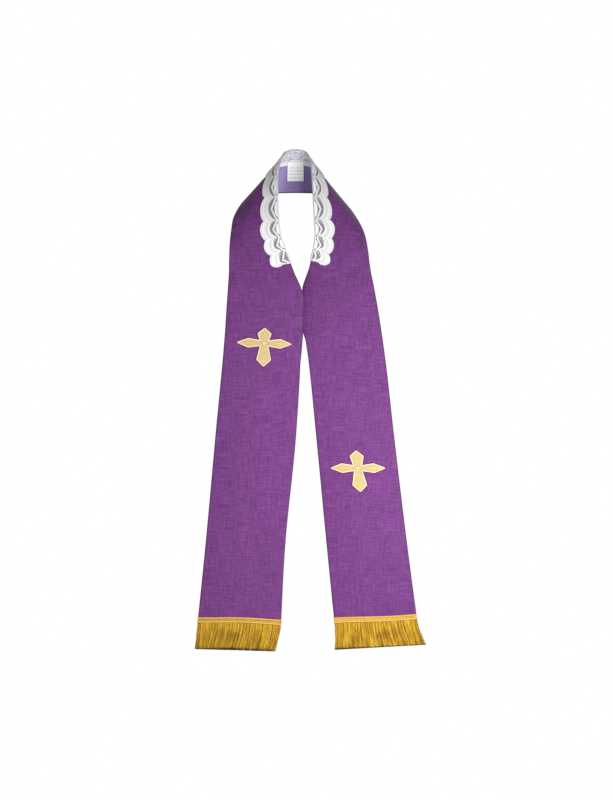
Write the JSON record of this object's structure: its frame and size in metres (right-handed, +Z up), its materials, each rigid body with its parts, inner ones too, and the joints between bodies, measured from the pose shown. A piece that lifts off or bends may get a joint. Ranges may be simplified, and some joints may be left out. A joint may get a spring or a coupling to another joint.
{
  "type": "clerical stole",
  "caption": "Lined clerical stole in worn, hollow form: a band round an empty neck, lace collar, a cross on each panel and fringed ends.",
  "frame": {"origin": "neck edge at the centre-back seam, where the wearer's nape or a stand carries it", "axes": "+Z up along the hang, -Y towards the front, where both panels face, +X to the viewer's right seen from the front"},
  "size_m": [0.4375, 0.1297, 0.9563],
  "materials": {
    "purple_cloth": "matt",
    "violet_lining": "satin",
    "white_lace": "matt",
    "gold_embroidery": "satin",
    "gold_braid": "satin",
    "gold_fringe": "satin",
    "label_tape": "matt"
  },
  "bodies": {
    "root": {"face_left": "purple_cloth", "face_right": "purple_cloth", "lining_left": "violet_lining", "lining_right": "violet_lining", "lace_collar": "white_lace", "cross_left": "gold_embroidery", "cross_right": "gold_embroidery", "braid_left": "gold_braid", "braid_right": "gold_braid", "fringe_left": "gold_fringe", "fringe_right": "gold_fringe", "care_label": "label_tape"}
  },
  "joints": []
}
